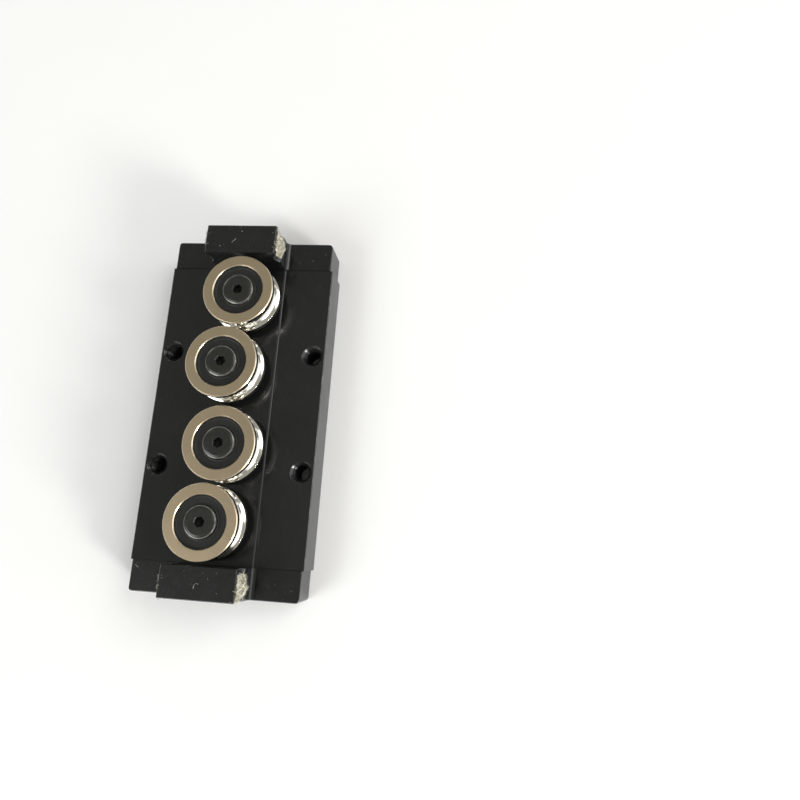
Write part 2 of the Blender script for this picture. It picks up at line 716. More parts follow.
class CarriageColours(bpy.types.PropertyGroup):
    """Colours of the finishes."""

    anodising: colour_of("Anodising", "Black anodised aluminium", (0.0096, 0.0104, 0.0106))
    bare_edge: colour_of("Bare edge", "Aluminium where the anodising has worn off", (0.55, 0.55, 0.53))
    moulding: colour_of("Moulding", "Black plastic of the end caps", (0.0062, 0.007, 0.0069))
    ground_face: colour_of("Ground face", "Ground faces of the rollers", (0.555, 0.452, 0.308))
    polished_groove: colour_of("Polished groove", "Polished groove of the rollers", (0.8, 0.77, 0.7))
    oxide: colour_of("Black oxide", "Axles and screws", (0.02, 0.021, 0.017))
    rubber: colour_of("Rubber", "Seals of the rollers", (0.0095, 0.0102, 0.0088))
    felt: colour_of("Felt", "Dry wool felt", (0.7, 0.67, 0.54))
    felt_oil: colour_of("Oiled felt", "Felt soaked with oil", (0.3, 0.27, 0.16))
    bright: colour_of("Bright steel", "Spacers and inner rings", (0.6, 0.59, 0.56))
    zinc: colour_of("Zinc", "Plated lock nuts", (0.62, 0.63, 0.62))
    brass: colour_of("Brass", "Ball cages", (0.62, 0.46, 0.2))
    floor: colour_of("Floor", "Floor under the carriage", (0.93, 0.93, 0.93))


class CarriageStage(bpy.types.PropertyGroup):
    """Camera and light."""

    camera_place: FloatVectorProperty(name="Camera place", description="Where the camera stands", size=3,
                                      default=(-0.038813, -0.080723, 0.217625), subtype="TRANSLATION",
                                      unit="LENGTH", precision=5)
    camera_turn: FloatVectorProperty(name="Camera turn", description="How the camera is turned", size=3,
                                     default=(0.220523, 0.103445, -1.504733), subtype="EULER", precision=5)
    focal: FloatProperty(name="Focal length", description="The camera's focal length in millimetres",
                         default=28.515, min=10.0, max=200.0)
    overhead: amount("Overhead light", "Brightness of the room straight above", 0.37, 5.0)
    windows: amount("Windows", "Brightness of the room's windows", 2.4, 9.0)
    walls: amount("Walls", "Brightness of the room's walls", 0.3, 5.0)
    backdrop: amount("Backdrop", "Brightness behind the floor's far edge", 0.93, 5.0)
    key: amount("Key light", "Power of the small low light in watts", 14.0, 90.0)
    fill: amount("Fill light", "Power of the large light on the left in watts", 15.0, 90.0)
    side: amount("Side light", "Power of the large light on the right in watts", 11.0, 90.0)


# ---------------------------------------------------------------- pieces


def plate_outline(sizes):
    """The plate's section in (y, z): wings with chamfered edges, and a raised land with foot fillets."""
    high = box_mm("carriage_plate")[1]
    half, top, wing = high.y, high.z, sizes.wing_top
    c, land = sizes.edge_chamfer, sizes.land_width / 2
    right = [(half - c, 0, 0.12), (half, c, 0.12), (half, wing - c, 0.12), (half - c, wing, 0.12),
             (land, wing, sizes.land_fillet), (land, top, 0.05)]
    return rounded(right + [(-y, z, r) for y, z, r in reversed(right)])


def hole_tool(bore, sink, bottom, top):
    """A countersunk through hole's shape about Z."""
    inner, outer = bore / 2, sink / 2
    return turned([(0, bottom - 1), (inner + 1.3, bottom - 1), (inner, bottom + 0.3),
                   (inner, top - outer + inner), (outer, top), (outer + 1, top + 1), (0, top + 1)], 72)


def end_screw_spots(sizes):
    """The (y, z) places of the screws in one end."""
    return [(side * sizes.end_screw_y, sizes.end_screw_z) for side in SIDES.values()]


class CARRIAGE_OT_plate(bpy.types.Operator):
    """Black anodised carriage plate with its land, mounting holes and axle bores"""

    bl_idname = "carriage.plate"
    bl_label = "Carriage Plate"

    def execute(self, context):
        sizes, colours = context.scene.carriage_sizes, context.scene.carriage_colours
        low, high = box_mm("carriage_plate")
        piece = make("plate_body", prism(plate_outline(sizes), low.x, high.x))
        spots = [(sx * sizes.mount_x / 2, sy * sizes.mount_y / 2, 0) for sx in (-1, 1) for sy in (-1, 1)]
        mounting_hole = hole_tool(sizes.mount_bore, sizes.mount_sink, 0, sizes.wing_top)
        tools = [moved(mounting_hole, spot) for spot in spots]
        roof, pocket, bore = box_mm("axle_lock_nuts")[1].z, sizes.nut_pocket / 2, sizes.axle_bore / 2
        seat = turned([(0, -1), (pocket + 0.1, -1), (pocket, 0.15), (pocket, roof - 0.3),
                       (pocket - 0.3, roof), (bore, roof), (bore, high.z - 0.2), (bore + 0.2, high.z),
                       (3.5, high.z + 1), (0, high.z + 1)], 64)
        tools += [moved(seat, (*bore_mm(k, sizes), 0)) for k in ROLLERS]
        tapped = turned([(0, -1), (2.1, -1), (1.5, 0.2), (1.5, 6.5), (0, 7.4)], 40)
        for end in ENDS.values():
            tools += [moved(tapped, (end * high.x, y, z), along_x(-end)) for y, z in end_screw_spots(sizes)]
        carve(piece, joined(*tools))
        piece.data.materials.append(anodised(colours))
        piece.data.materials.append(anodised(colours, True))
        soften(piece, sizes.softening, 2, 30, 1, lambda spot: spot.z < sizes.wing_top + 0.5)
        rubbed = sizes.edge_chamfer + 0.15
        for face in piece.data.polygons:
            y, z = abs(face.center.y) * 1000, face.center.z * 1000
            face.material_index = int(y > high.y - rubbed and z > sizes.wing_top - rubbed)
        threads = [moved(thread(2.55, 3.0, 1.0, 1.0, sizes.wing_top - 1.1, 40, 8), spot) for spot in spots]
        carve(piece, joined(*threads))
        smooth(piece, 34)
        hand_over(piece, "carriage", "black_anodised", ["carriage_plate"])
        return {"FINISHED"}


def cap_outline(sizes, node, notch):
    """Section of a cap or backing plate in (y, z), with notches round the guide shafts."""
    low, high = box_mm(node)
    half, boss, top, wing = high.y, sizes.boss_width / 2, high.z, sizes.cap_wing_top
    inset = sizes.shaft_offset - boss
    reach = math.degrees(math.acos(-inset / notch))
    curve = arc(sizes.shaft_offset, sizes.shaft_height, notch, 360 - reach, reach, 22)
    right = [(half, low.z, 0.3), (half, wing, 0.4), (boss, wing, sizes.boss_fillet)]
    right += [(y, z, 0) for y, z in curve] + [(boss, top, 0.6)]
    return rounded(right + [(-y, z, r) for y, z, r in reversed(right)], 7)


def end_screw_holes(sizes, end, start, depth, head_start=None):
    """Clearance holes for the end screws, with room for their heads from head_start outwards."""
    radius, head = 1.7, 3.1
    profile = [(0, 0), (radius, 0), (radius, depth), (0, depth)]
    if head_start is not None:
        profile[2:3] = [(radius, head_start), (head, head_start), (head, depth - 1.15),
                        (head + 0.8, depth - 0.5), (head + 0.8, depth)]
    hole = turned(profile, 64)
    return joined(*[moved(hole, (end * start, y, z), along_x(end)) for y, z in end_screw_spots(sizes)])


class CARRIAGE_OT_backing_plates(bpy.types.Operator):
    """Thin plates between the carriage plate and its end caps"""

    bl_idname = "carriage.backing_plates"
    bl_label = "Backing Plates"

    def execute(self, context):
        sizes, colours = context.scene.carriage_sizes, context.scene.carriage_colours
        plastic, edge = moulded(colours), moulded(colours, (), True)
        plastic.name, edge.name = "backing_black", "backing_edge"
        for name, end in ENDS.items():
            node = f"backing_plate_{name}"
            low, high = box_mm(node)
            piece = make(f"backing_{name}", prism(cap_outline(sizes, node, 3.3), low.x, high.x))
            carve(piece, end_screw_holes(sizes, end, min(abs(low.x), abs(high.x)) - 1, 4))
            piece.data.materials.append(plastic)
            piece.data.materials.append(edge)
            soften(piece, sizes.softening, 2, 30, 1, lambda spot: abs(spot.y) > 10.5 and 17 < spot.z < 25.5)
            hand_over(smooth(piece), "carriage", "black_plate", [node])
        return {"FINISHED"}


class CARRIAGE_OT_end_caps(bpy.types.Operator):
    """Moulded end caps with a raised boss and felt pockets"""

    bl_idname = "carriage.end_caps"
    bl_label = "End Caps"

    def execute(self, context):
        sizes, colours = context.scene.carriage_sizes, context.scene.carriage_colours
        plastic, edge = moulded(colours, CAP_MARKS), moulded(colours, (), True)
        for name, end in ENDS.items():
            node = f"end_cap_{name}"
            low, high = box_mm(node)
            inner, outer = min(abs(low.x), abs(high.x)), max(abs(low.x), abs(high.x))
            outline = cap_outline(sizes, node, sizes.felt_radius + 0.02)
            piece = make(f"cap_{name}", prism(outline, low.x, high.x))
            plan = rounded([(end * (inner - 1), high.y, 0), (end * (inner - 1), low.y, 0),
                            (end * outer, low.y, 1.2), (end * outer, high.y, 1.2)], 8)
            carve(piece, prism(plan, low.z - 1, high.z + 1, "Z"), "INTERSECT")
            thick = outer - inner
            carve(piece, end_screw_holes(sizes, end, inner - 1, thick + 2, thick + 1 - 3.4))
            piece.data.materials.append(plastic)
            piece.data.materials.append(edge)
            soften(piece, sizes.cap_softening, 3, 30, 1, lambda spot: abs(spot.x) > inner + 0.1)
            hand_over(smooth(piece), "carriage", "black_plastic", [node])
        return {"FINISHED"}


def fibre(length, radius, bend, sides=3, steps=5):
    """A short curved strand that stands up along Z."""
    points, faces = [], []
    for i in range(steps + 1):
        t = i / steps
        lean = bend * t * t
        thick = radius * (1 - 0.55 * t)
        for s in range(sides):
            a = 2 * math.pi * s / sides
            points.append((lean * length + thick * math.cos(a),
                           thick * math.sin(a) + lean * lean * length * 0.4,
                           length * t * (1 - 0.25 * t * abs(bend))))
        if i:
            base = (i - 1) * sides
            for s in range(sides):
                t1 = (s + 1) % sides
                faces.append((base + s, base + t1, base + sides + t1, base + sides + s))
    last = steps * sides
    return points, faces + [tuple(range(sides))[::-1], tuple(range(last, last + sides))]


def tree_of(name, inputs):
    """An empty Geometry Nodes tree with named inputs and one geometry output."""
    tree = bpy.data.node_groups.new(name, "GeometryNodeTree")
    tree.interface.new_socket("Geometry", in_out="OUTPUT", socket_type="NodeSocketGeometry")
    for title, kind, default in inputs:
        socket = tree.interface.new_socket(title, in_out="INPUT", socket_type=kind)
        if default is not None:
            socket.default_value = default
    return tree, tree.nodes.new("NodeGroupInput"), tree.nodes.new("NodeGroupOutput")


def wire_up(tree, kind, settings, inputs):
    """Adds one node to a Geometry Nodes tree and returns it."""
    node = tree.nodes.new(kind)
    for key, value in settings.items():
        setattr(node, key, value)
    for key, value in inputs.items():
        if isinstance(value, bpy.types.NodeSocket):
            tree.links.new(value, node.inputs[key])
        else:
            node.inputs[key].default_value = value
    return node


def finish_tree(tree, given, out, geometry, rounded_off=False):
    """Ends a Geometry Nodes tree: real meshes, smooth where asked, in the material that it is given."""
    real = wire_up(tree, "GeometryNodeRealizeInstances", {}, {0: geometry})
    if rounded_off:
        real = wire_up(tree, "GeometryNodeSetShadeSmooth", {}, {0: real.outputs[0]})
    done = wire_up(tree, "GeometryNodeSetMaterial", {}, {"Geometry": real.outputs[0],
                                                        "Material": given.outputs["Finish"]})
    tree.links.new(done.outputs[0], out.inputs[0])
    return tree


def grown(name, source, tree, values, material):
    """Runs a Geometry Nodes tree on an object and returns the result as a plain mesh object."""
    step = source.modifiers.new("nodes", "NODES")
    step.node_group = tree
    for item in tree.interface.items_tree:
        if item.in_out == "INPUT" and item.name in values:
            step[item.identifier] = values[item.name]
        if item.in_out == "INPUT" and item.name == "Finish":
            step[item.identifier] = material
    graph = bpy.context.evaluated_depsgraph_get()
    mesh = bpy.data.meshes.new_from_object(source.evaluated_get(graph))
    source.modifiers.clear()
    mesh.name = name
    piece = bpy.data.objects.new(name, mesh)
    bpy.context.scene.collection.objects.link(piece)
    return piece


def discard(*objects):
    for item in objects:
        mesh = item.data
        bpy.data.objects.remove(item)
        bpy.data.meshes.remove(mesh)


def fuzz_tree():
    """Strands scattered over a surface, on top of the surface itself."""
    tree, given, out = tree_of("felt_fuzz", [
        ("Surface", "NodeSocketGeometry", None), ("Strand", "NodeSocketObject", None),
        ("Density", "NodeSocketFloat", 8e6), ("Lean", "NodeSocketFloat", 1.1), ("Seed", "NodeSocketInt", 3),
        ("Finish", "NodeSocketMaterial", None)])
    spread = wire_up(tree, "GeometryNodeDistributePointsOnFaces", {}, {
        "Mesh": given.outputs["Surface"], "Density": given.outputs["Density"], "Seed": given.outputs["Seed"]})
    strand = wire_up(tree, "GeometryNodeObjectInfo", {}, {"Object": given.outputs["Strand"]})
    lean = wire_up(tree, "FunctionNodeRandomValue", {"data_type": "FLOAT_VECTOR"}, {
        0: (-1.1, -1.1, -3.14), 1: (1.1, 1.1, 3.14), "Seed": given.outputs["Seed"]})
    turn = wire_up(tree, "FunctionNodeRotateRotation", {"rotation_space": "LOCAL"}, {
        0: spread.outputs["Rotation"], 1: lean.outputs[0]})
    size = wire_up(tree, "FunctionNodeRandomValue", {"data_type": "FLOAT"}, {2: 0.45, 3: 1.35})
    put = wire_up(tree, "GeometryNodeInstanceOnPoints", {}, {
        "Points": spread.outputs["Points"], "Instance": strand.outputs["Geometry"],
        "Rotation": turn.outputs[0], "Scale": size.outputs[1]})
    all_of = wire_up(tree, "GeometryNodeJoinGeometry", {}, {})
    tree.links.new(put.outputs[0], all_of.inputs[0])
    tree.links.new(given.outputs["Surface"], all_of.inputs[0])
    return finish_tree(tree, given, out, all_of.outputs[0])


def copies_tree():
    """A master piece copied to the points of a mesh, turned as the points say."""
    tree, given, out = tree_of("copies", [
        ("Places", "NodeSocketGeometry", None), ("Master", "NodeSocketObject", None),
        ("Finish", "NodeSocketMaterial", None)])
    dots = wire_up(tree, "GeometryNodeMeshToPoints", {}, {"Mesh": given.outputs["Places"]})
    master = wire_up(tree, "GeometryNodeObjectInfo", {}, {"Object": given.outputs["Master"]})
    turn = wire_up(tree, "GeometryNodeInputNamedAttribute", {"data_type": "FLOAT_VECTOR"}, {"Name": "turn"})
    put = wire_up(tree, "GeometryNodeInstanceOnPoints", {}, {
        "Points": dots.outputs[0], "Instance": master.outputs["Geometry"], "Rotation": turn.outputs[0]})
    return finish_tree(tree, given, out, put.outputs[0])


def ball_tree():
    """Two rows of balls on a circle, half a step apart."""
    tree, given, out = tree_of("ball_rows", [
        ("Balls", "NodeSocketInt", 8), ("Ball Radius", "NodeSocketFloat", 0.0014),
        ("Circle Radius", "NodeSocketFloat", 0.0061), ("Row Offset", "NodeSocketFloat", 0.0017),
        ("Centre", "NodeSocketVector", (0.0, 0.0, 0.0)), ("Finish", "NodeSocketMaterial", None)])
    circle = wire_up(tree, "GeometryNodeMeshCircle", {}, {
        "Vertices": given.outputs["Balls"], "Radius": given.outputs["Circle Radius"]})
    ball = wire_up(tree, "GeometryNodeMeshUVSphere", {}, {
        "Segments": 32, "Rings": 16, "Radius": given.outputs["Ball Radius"]})
    row = wire_up(tree, "GeometryNodeInstanceOnPoints", {}, {"Points": circle.outputs[0],
                                                             "Instance": ball.outputs[0]})
    both = wire_up(tree, "GeometryNodeJoinGeometry", {}, {})
    half = wire_up(tree, "ShaderNodeMath", {"operation": "DIVIDE"}, {0: math.pi, 1: given.outputs["Balls"]})
    for side, turn in ((-1, 0.0), (1, half.outputs[0])):
        lift = wire_up(tree, "ShaderNodeMath", {"operation": "MULTIPLY"}, {
            0: given.outputs["Row Offset"], 1: side})
        place = wire_up(tree, "ShaderNodeCombineXYZ", {}, {2: lift.outputs[0]})
        angle = wire_up(tree, "ShaderNodeCombineXYZ", {}, {2: turn})
        moved_row = wire_up(tree, "GeometryNodeTransform", {}, {
            "Geometry": row.outputs[0], "Translation": place.outputs[0], "Rotation": angle.outputs[0]})
        tree.links.new(moved_row.outputs[0], both.inputs[0])
    home = wire_up(tree, "GeometryNodeTransform", {}, {"Geometry": both.outputs[0],
                                                      "Translation": given.outputs["Centre"]})
    return finish_tree(tree, given, out, home.outputs[0], True)


def felt_strip(sizes, end, side, seed):
    """The felt's own body: a C-shaped strip round the shaft, with an uneven, slightly frayed surface."""
    low, high = box_mm(f"felt_wiper_{end}_{side}")
    sign, out = SIDES[side], ENDS[end]
    cut = sizes.shaft_offset - max(abs(low.y), abs(high.y))
    outer, inner, thinnest = sizes.felt_radius - 0.05, 3.06, 2.55
    stations, around = 72, 64
    points, faces = [], []
    # Each station is a C of two arcs, the outer one first. Towards the open end the strip frays and its lips
    # draw back, and in the middle its lower side swells out of the pocket.
    for i in range(stations + 1):
        t = i / stations
        x = low.x + (high.x - low.x) * t
        outward = t if out > 0 else 1 - t
        fray = max(0, outward - 0.7) / 0.3
        lip = 1 - 0.34 * fray * fray - 0.1 * max(0, 0.25 - outward) / 0.25
        ring = []
        for radius, turn in ((outer, 1), (inner, -1)):
            edge = math.degrees(math.acos(-cut / radius))
            span = (180 - edge) * (lip + 0.09 * noise.noise(Vector((x * 0.8, radius, seed * 5.1))))
            ring += arc(0, 0, radius, 180 - turn * span, 180 + turn * span, around)
        for j, (u, v) in enumerate(ring):
            r, angle = math.hypot(u, v), math.atan2(v, u)
            place = Vector((x * 0.7, u * 0.9 + seed * 7.3, v * 0.9))
            lumps = noise.noise(place) * 0.6 + noise.noise(place * 2.1) * 0.8 + noise.noise(place * 4.6) * 0.4
            if j > around:
                r = max(thinnest, r + lumps - 0.1)
            shift = 0.7 * noise.noise(Vector((u * 1.4, v * 1.4, seed * 3.0))) * fray * fray
            low_side = min(1, max(0, -v - 0.8) / 2.2)
            swell = low_side * (0.85 * math.exp(-((outward - 0.47) / 0.2) ** 2) - 1.1 * fray * fray - 0.1)
            if swell < 0 and j <= around:
                swell = 0
            points.append((x - out * abs(shift), sign * (sizes.shaft_offset + r * math.cos(angle) + swell),
                           sizes.shaft_height + r * math.sin(angle)))
    count = 2 * (around + 1)
    for i in range(stations):
        for j in range(count):
            k = (j + 1) % count
            faces.append((i * count + j, i * count + k, (i + 1) * count + k, (i + 1) * count + j))
    faces.append(tuple(range(count)))
    faces.append(tuple(range(len(points) - count, len(points)))[::-1])
    return points, faces


class CARRIAGE_OT_felt_wipers(bpy.types.Operator):
    """Felt strips in the caps' pockets, with fuzz and stray fibres"""

    bl_idname = "carriage.felt_wipers"
    bl_label = "Felt Wipers"

    def execute(self, context):
        sizes, colours = context.scene.carriage_sizes, context.scene.carriage_colours
        felt = wool_felt(colours)
        tree = fuzz_tree()
        strand = make("strand", fibre(0.55, 0.024, 0.9))
        for i, (end, side) in enumerate([(e, s) for e in ENDS for s in SIDES]):
            rng = random.Random(i + 1)
            strip = make("strip", felt_strip(sizes, end, side, i + 1))
            strip.data.shade_smooth()
            piece = grown(f"felt_{end}_{side}", strip, tree, {
                "Strand": strand, "Density": sizes.fibres * 1e6, "Seed": 11 + i}, felt)
            discard(strip)
            hairs = make("hairs", joined(*stray_fibres(sizes, end, side, rng)))
            hairs.data.materials.append(felt)
            merge(piece, hairs)
            piece.data.shade_smooth()
            hand_over(piece, "carriage", "felt", [f"felt_wiper_{end}_{side}"])
        discard(strand)
        return {"FINISHED"}


def merge(piece, extra):
    """Joins a second object into the piece."""
    with bpy.context.temp_override(active_object=piece, selected_editable_objects=[piece, extra]):
        bpy.ops.object.join()


def hair(start, middle, end, radius, sides=5, steps=9):
    """A curved strand from start to end, bent towards middle."""
    points, faces = [], []
    start, middle, end = Vector(start), Vector(middle), Vector(end)
    for i in range(steps + 1):
        t = i / steps
        spot = start * (1 - t) ** 2 + middle * 2 * t * (1 - t) + end * t * t
        ahead = ((middle - start) * (1 - t) + (end - middle) * t).normalized()
        turn = Vector((0, 0, 1)).rotation_difference(ahead).to_matrix()
        for j in range(sides):
            a = 2 * math.pi * j / sides
            points.append(tuple(spot + turn @ Vector((math.cos(a), math.sin(a), 0)) * radius * (1 - 0.6 * t)))
        if i:
            base = (i - 1) * sides
            faces += [(base + j, base + (j + 1) % sides, base + sides + (j + 1) % sides, base + sides + j)
                      for j in range(sides)]
    return points, faces + [tuple(range(sides))[::-1], tuple(range(steps * sides, (steps + 1) * sides))]


def stray_fibres(sizes, end, side, rng):
    """Loose hairs on a felt: loops on its face, and strands that stick out of its end and past its lips."""
    low, high = box_mm(f"felt_wiper_{end}_{side}")
    sign, out = SIDES[side], ENDS[end]
    near, tip = sorted((abs(low.x), abs(high.x)))
    any_of = rng.uniform

    def on_face(x, angle, radius):
        a = math.radians(angle)
        y, z = radius * math.cos(a), radius * math.sin(a)
        return Vector((out * x, sizes.shaft_offset + y, sizes.shaft_height + z))

    # Loops matted on the face.
    strands = []
    for _ in range(130):
        x, angle = any_of(near + 0.1, tip - 0.3), any_of(128, 232)
        x2, angle2 = x + any_of(-0.9, 0.9), angle + any_of(-26, 26)
        strands.append((on_face(x, angle, 3.1), on_face((x + x2) / 2, (angle + angle2) / 2, any_of(1.9, 2.6)),
                        on_face(min(tip, max(near, x2)), angle2, 3.05), any_of(0.035, 0.065)))
    # Hairs out of the outer end, then out of the inner end.
    for _ in range(16):
        start = on_face(tip - 0.5, any_of(126, 215), any_of(3.1, 3.9))
        lean = Vector((0, any_of(-0.8, 0.9), any_of(-0.5, 1.0)))
        reach = Vector((out * any_of(0.6, 1.5), 0, 0))
        strands.append((start, start + reach * 0.6 - lean * 0.2, start + reach + lean, any_of(0.045, 0.07)))
    for _ in range(9):
        start = on_face(near + 0.1, any_of(130, 232), any_of(2.8, 3.1))
        reach = Vector((-out * any_of(0.4, 1.1), any_of(-0.3, 0.3), any_of(-0.6, 0.2)))
        strands.append((start, start + reach * 0.6, start + reach + Vector((0, 0, any_of(-0.4, 0.4))),
                        any_of(0.04, 0.06)))
    # Hairs that curl over the upper lip, then hairs that stick out sideways, where one felt has fewer.
    for _ in range(11):
        start = on_face(any_of(near + 0.4, tip - 0.2), any_of(124, 132), 3.3)
        rise = Vector((any_of(-0.5, 0.5), any_of(0.1, 0.5), 2.3))
        droop = Vector((any_of(-0.5, 0.5), any_of(-1.9, -0.9), any_of(-0.5, -0.1)))
        strands.append((start, start + rise * 0.7, start + rise + droop, any_of(0.07, 0.1)))
    for i in range(3 if (end, side) == ("rear", "left") else 9):
        start = on_face(any_of(near + 1, tip - 0.4), any_of(150, 200), 3.05)
        reach = Vector((any_of(-0.9, 0.9), any_of(0.9, 2.0 if i else 3.0), any_of(-0.4, 0.6)))
        strands.append((start, start + reach * 0.5 + Vector((0, 0, 0.5)), start + reach, any_of(0.06, 0.09)))
    hairs = []
    for start, middle, finish, radius in strands:
        points, faces = hair(start, middle, finish, radius)
        hairs.append(([(x, sign * y, z) for x, y, z in points], faces))
    return hairs


def copies(name, master, places, material):
    """Copies of the master at (place, turn), through Geometry Nodes."""
    dots = make("dots", ([tuple(place) for place, _ in places], []))
    turns = dots.data.attributes.new("turn", "FLOAT_VECTOR", "POINT")
    turns.data.foreach_set("vector", [v for _, turn in places for v in turn])
    piece = grown(name, dots, copies_tree(), {"Master": master}, material)
    discard(dots, master)
    return piece


def knurled(angle):
    """The radius of a knurled screw head at each angle."""
    return 2.75 - 0.07 * abs(math.sin(18 * angle))


class CARRIAGE_OT_cap_screws(bpy.types.Operator):
    """Socket head screws in the end caps"""

    bl_idname = "carriage.cap_screws"
    bl_label = "Cap Screws"

    def execute(self, context):
        sizes, colours = context.scene.carriage_sizes, context.scene.carriage_colours
        crown = arc(2.45, 2.7, 0.3, 0, 90, 6)
        profile = [(0, 0), (2.6, 0), (2.75, 0.12), (2.75, 0.3), (knurled, 0.4), (knurled, 2.35), (2.75, 2.45)]
        profile += crown
        profile += [(1.75, 3), (hexagonal(2.5, 0, 1.1), 3), (hexagonal(2.5), 2.88), (hexagonal(2.5), 1.5),
                    (1.0, 1.45), (0, 0.9)]
        master = make("screw", turned(profile, 216))
        shank = make("shank", thread(1.22, 1.49, 0.5, -12, 0.1, 32, 6))
        merge(master, shank)
        smooth(master, 36)
        oxide = black_oxide(colours)
        oxide.name = "screw_oxide"
        seat = box_mm("end_cap_screws")[1].x - 3
        places = [((end * seat, y, z), (0, math.radians(90 * end), 0))
                  for end in ENDS.values() for y, z in end_screw_spots(sizes)]
        piece = copies("cap_screws", master, places, oxide)
        own_frame(piece, (0, 0, sizes.end_screw_z))
        hand_over(piece, "carriage", "black_steel", ["end_cap_screws"], oxide)
        return {"FINISHED"}


class CARRIAGE_OT_lock_nuts(bpy.types.Operator):
    """Thin hexagon nuts on the axles, in the mounting face's pockets"""

    bl_idname = "carriage.lock_nuts"
    bl_label = "Lock Nuts"

    def execute(self, context):
        sizes, colours = context.scene.carriage_sizes, context.scene.carriage_colours
        low, high = box_mm("axle_lock_nuts")
        height = high.z - low.z
        corner, rim, bore = 4 / math.cos(math.radians(30)), 4.62, 2.56
        master = make("nut", prism(arc(0, 0, corner, 0, 300, 5), 0, height, "Z"))
        carve(master, turned([(0, 0), (3.85, 0), (rim, 0.42), (rim, height - 0.42), (3.85, height),
                              (0, height)], 72), "INTERSECT")
        carve(master, turned([(0, -0.5), (3.2, -0.5), (bore, 0.25), (bore, height - 0.25),
                              (3.2, height + 0.5), (0, height + 0.5)], 56))
        soften(master, 0.06, 2, 25)
        smooth(master)
        places = [((*bore_mm(k, sizes), low.z), (0, 0, math.radians(17 * k))) for k in ROLLERS]
        zinc = plain_steel("zinc_plate", colours.zinc, 0.24)
        piece = copies("lock_nuts", master, places, zinc)
        hand_over(piece, "carriage", "zinc_steel", ["axle_lock_nuts"], zinc)
        return {"FINISHED"}


class CARRIAGE_OT_axles(bpy.types.Operator):
    """Socket head axles: the odd ones are fixed and the even ones are eccentric"""

    bl_idname = "carriage.axles"
    bl_label = "Axles"

    def execute(self, context):
        sizes = context.scene.carriage_sizes
        oxide = black_oxide(context.scene.carriage_colours)
        plate_top = box_mm("carriage_plate")[1].z
        for k in ROLLERS:
            node = axle_node(k)
            low, high = box_mm(node)
            seat = centre_mm(node)
            under = box_mm(f"inner_ring_{k}")[1].z
            top = high.z
            rim, foot = (high.x - low.x) / 2, plate_top + 0.1
            profile = rounded([(0, foot, 0), (2.98, foot, 0.1), (2.98, under, 0), (rim, under, 0.05),
                               (rim, top - 0.42, 0.1), (4.15, top, 0.9), (2.3, top, 0)], 6)
            spin = 10 + 38 * k
            profile += [(hexagonal(3, spin, 1.1), top),
                        (hexagonal(3, spin), top - 0.14), (hexagonal(3, spin), top - 2.2),
                        (1.3, top - 2.25), (0, top - 2.9)]
            piece = make(f"axle_{k}", moved(turned(profile, 180), (seat.x, seat.y, 0)))
            shank = moved(thread(2.12, 2.49, 0.8, low.z, plate_top + 0.15, 48, 8), (*bore_mm(k, sizes), 0))
            merge(piece, make("shank", shank))
            smooth(piece, 36)
            own_frame(piece, (seat.x, seat.y, top), k * 0.37)
            hand_over(piece, body_of_roller_seat(k), "black_steel", [node], oxide)
        return {"FINISHED"}


class CARRIAGE_OT_spacers(bpy.types.Operator):
    """Rings that hold the rollers above the plate"""

    bl_idname = "carriage.spacers"
    bl_label = "Spacers"

    def execute(self, context):
        colours = context.scene.carriage_colours
        steel = plain_steel("turned_steel", colours.bright, 0.2)
        for k in ROLLERS:
            centre, rim, half = ring_mm(f"spacer_{k}")
            ring = rounded([(3.02, -half, 0.1), (rim, -half, 0.2), (rim, half, 0.2), (3.02, half, 0.1)], 3)
            piece = make(f"spacer_ring_{k}", moved(turned(ring, 96, True), centre))
            hand_over(smooth(piece), body_of_roller_seat(k), "bright_steel", [f"spacer_{k}"], steel)
        return {"FINISHED"}


def race(sizes, side, height, upwards, inner):
    """The part of a raceway circle that a ring is hollowed by, as (radius, height) points."""
    r = sizes.ball / 2 + 0.06
    depth = sizes.ball_circle - inner if side == "inner" else inner - sizes.ball_circle
    half = math.degrees(math.acos(depth / r))
    middle = 180 if side == "inner" else 0
    turn = (half, -half) if (side == "inner") == upwards else (-half, half)
    return arc(sizes.ball_circle, height, r, middle + turn[0], middle + turn[1], 12)


